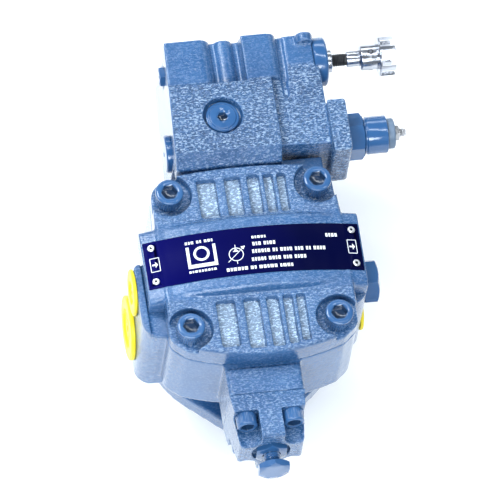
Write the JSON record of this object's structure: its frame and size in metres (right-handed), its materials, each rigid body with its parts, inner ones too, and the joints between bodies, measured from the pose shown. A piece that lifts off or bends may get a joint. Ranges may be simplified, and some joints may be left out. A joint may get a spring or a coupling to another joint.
{
  "type": "vane pump",
  "caption": "Variable-displacement vane pump with flange mount, keyed shaft, ribbed cover, pressure governor with two adjusters and a stroke stop.",
  "frame": {"origin": "centre of the mounting pilot on the flange face", "axes": "+Z along the shaft from the flange to the cover, +Y to the governor, -Y to the stroke stop, +X to the outlet side"},
  "size_m": [0.2042, 0.3097, 0.1694],
  "materials": {
    "blue_paint": "gloss",
    "steel": "satin",
    "bright_steel": "polished",
    "brass": "satin",
    "seal_rubber": "matte",
    "bronze_iron": "machined",
    "plate_blue": "anodised",
    "yellow_plastic": "satin",
    "grey_plastic": "satin"
  },
  "bodies": {
    "housing": {"pump_body": "blue_paint", "cover": "blue_paint", "governor_housing": "blue_paint", "thrust_cap": "blue_paint", "cover_screws": "blue_paint", "cap_screws": "blue_paint", "governor_screws": "blue_paint", "governor_cartridge": "blue_paint", "relief_hub": "blue_paint", "governor_top_plug": "blue_paint", "governor_end_plug": "blue_paint", "thrust_plug": "blue_paint", "front_bearing_outer_race": "steel", "rear_bearing_cup": "steel", "retaining_ring": "steel", "dowel_pins": "steel", "control_spring": "steel", "governor_spring": "steel", "relief_spring": "steel", "relief_washer": "steel", "relief_end_plug": "steel", "drive_rivets": "steel", "shaft_seal": "seal_rubber", "front_port_plate": "bronze_iron", "rear_port_plate": "bronze_iron", "name_plate": "plate_blue", "inlet_cap": "yellow_plastic", "case_drain_cap": "yellow_plastic", "outlet_cap": "yellow_plastic", "governor_cap": "grey_plastic"},
    "shaft_group": {"shaft": "steel", "shaft_key": "steel", "rotor": "steel", "front_bearing_inner_race": "steel"},
    "ball_set": {"front_bearing_balls": "steel", "front_bearing_cage": "brass"},
    "roller_set": {"rear_bearing_rollers": "steel"},
    "cam_ring": {"cam_ring": "steel"},
    "control_piston": {"control_piston": "steel"},
    "bias_piston": {"bias_piston": "steel"},
    "stop_screw": {"stop_screw": "blue_paint"},
    "stop_lock_nut": {"stop_lock_nut": "blue_paint"},
    "governor_screw": {"governor_screw": "steel"},
    "governor_lock_nut": {"governor_lock_nut": "bright_steel"},
    "governor_spring_seat": {"governor_spring_seat": "steel"},
    "governor_spool": {"governor_spool": "steel"},
    "relief_adjuster": {"relief_stem": "bright_steel", "relief_knob": "bright_steel", "relief_set_screws": "steel"},
    "relief_spring_seat": {"relief_spring_seat": "steel"},
    "relief_spool": {"relief_spool": "steel"},
    "vane_1": {"vane_1": "steel"},
    "vane_2": {"vane_2": "steel"},
    "vane_3": {"vane_3": "steel"},
    "vane_4": {"vane_4": "steel"},
    "vane_5": {"vane_5": "steel"},
    "vane_6": {"vane_6": "steel"},
    "vane_7": {"vane_7": "steel"},
    "vane_8": {"vane_8": "steel"},
    "vane_9": {"vane_9": "steel"}
  },
  "joints": [
    {"name": "shaft_spin", "type": "hinge", "parent": "housing", "child": "shaft_group", "pos_m": [0, 0, 0], "axis": [0, 0, 1], "continuous": true},
    {"name": "ball_set_spin", "type": "hinge", "parent": "housing", "child": "ball_set", "pos_m": [0, 0, 0], "axis": [0, 0, 1], "continuous": true},
    {"name": "roller_set_spin", "type": "hinge", "parent": "housing", "child": "roller_set", "pos_m": [0, 0, 0], "axis": [0, 0, 1], "continuous": true},
    {"name": "ring_slide", "type": "slide", "parent": "housing", "child": "cam_ring", "axis": [0, 1, 0], "range_m": [-0.00225, 0]},
    {"name": "control_piston_slide", "type": "slide", "parent": "housing", "child": "control_piston", "axis": [0, 1, 0], "range_m": [-0.00225, 0], "deforming": ["control_spring"]},
    {"name": "bias_piston_slide", "type": "slide", "parent": "housing", "child": "bias_piston", "axis": [0, 1, 0], "range_m": [-0.00225, 0]},
    {"name": "stop_screw_turn", "type": "hinge", "parent": "housing", "child": "stop_screw", "pos_m": [-0.0035, 0, 0.078], "axis": [0, 1, 0], "range_deg": [-360, 360]},
    {"name": "stop_lock_nut_turn", "type": "hinge", "parent": "housing", "child": "stop_lock_nut", "pos_m": [-0.0035, 0, 0.078], "axis": [0, 1, 0], "range_deg": [-360, 0]},
    {"name": "governor_screw_turn", "type": "hinge", "parent": "housing", "child": "governor_screw", "pos_m": [0, 0.0935, 0.097], "axis": [1, 0, 0], "range_deg": [-720, 0]},
    {"name": "governor_lock_nut_turn", "type": "hinge", "parent": "housing", "child": "governor_lock_nut", "pos_m": [0, 0.0935, 0.097], "axis": [1, 0, 0], "range_deg": [0, 360]},
    {"name": "governor_seat_slide", "type": "slide", "parent": "housing", "child": "governor_spring_seat", "axis": [1, 0, 0], "range_m": [-0.00201, 0], "deforming": ["governor_spring"]},
    {"name": "governor_spool_slide", "type": "slide", "parent": "housing", "child": "governor_spool", "axis": [1, 0, 0], "range_m": [0, 0.003], "deforming": ["governor_spring"]},
    {"name": "relief_knob_turn", "type": "hinge", "parent": "housing", "child": "relief_adjuster", "pos_m": [0, 0.1497, 0.103], "axis": [1, 0, 0], "range_deg": [-720, 0]},
    {"name": "relief_seat_slide", "type": "slide", "parent": "housing", "child": "relief_spring_seat", "axis": [1, 0, 0], "range_m": [-0.00251, 0], "deforming": ["relief_spring"]},
    {"name": "relief_spool_slide", "type": "slide", "parent": "housing", "child": "relief_spool", "axis": [1, 0, 0], "range_m": [0, 0.002], "deforming": ["relief_spring"]},
    {"name": "vane_1_slide", "type": "slide", "parent": "shaft_group", "child": "vane_1", "axis": [1, 0, 0], "range_m": [0, 0.0022]},
    {"name": "vane_2_slide", "type": "slide", "parent": "shaft_group", "child": "vane_2", "axis": [0.766, 0.6428, 0], "range_m": [0, 0.0022]},
    {"name": "vane_3_slide", "type": "slide", "parent": "shaft_group", "child": "vane_3", "axis": [0.1736, 0.9848, 0], "range_m": [0, 0.0022]},
    {"name": "vane_4_slide", "type": "slide", "parent": "shaft_group", "child": "vane_4", "axis": [-0.5, 0.866, 0], "range_m": [0, 0.0022]},
    {"name": "vane_5_slide", "type": "slide", "parent": "shaft_group", "child": "vane_5", "axis": [-0.9397, 0.342, 0], "range_m": [0, 0.0022]},
    {"name": "vane_6_slide", "type": "slide", "parent": "shaft_group", "child": "vane_6", "axis": [-0.9397, -0.342, 0], "range_m": [0, 0.0022]},
    {"name": "vane_7_slide", "type": "slide", "parent": "shaft_group", "child": "vane_7", "axis": [-0.5, -0.866, 0], "range_m": [0, 0.0022]},
    {"name": "vane_8_slide", "type": "slide", "parent": "shaft_group", "child": "vane_8", "axis": [0.1736, -0.9848, 0], "range_m": [0, 0.0022]},
    {"name": "vane_9_slide", "type": "slide", "parent": "shaft_group", "child": "vane_9", "axis": [0.766, -0.6428, 0], "range_m": [0, 0.0022]}
  ],
  "couplings": [
    {"joint": "ball_set_spin", "follows": "shaft_spin", "ratio": 0.3831},
    {"joint": "roller_set_spin", "follows": "shaft_spin", "ratio": 0.4372},
    {"joint": "control_piston_slide", "follows": "ring_slide", "ratio": 1},
    {"joint": "bias_piston_slide", "follows": "ring_slide", "ratio": 1},
    {"joint": "governor_seat_slide", "follows": "governor_screw_turn", "m_per_rad": 0.00015915},
    {"joint": "relief_seat_slide", "follows": "relief_knob_turn", "m_per_rad": 0.00019894}
  ]
}
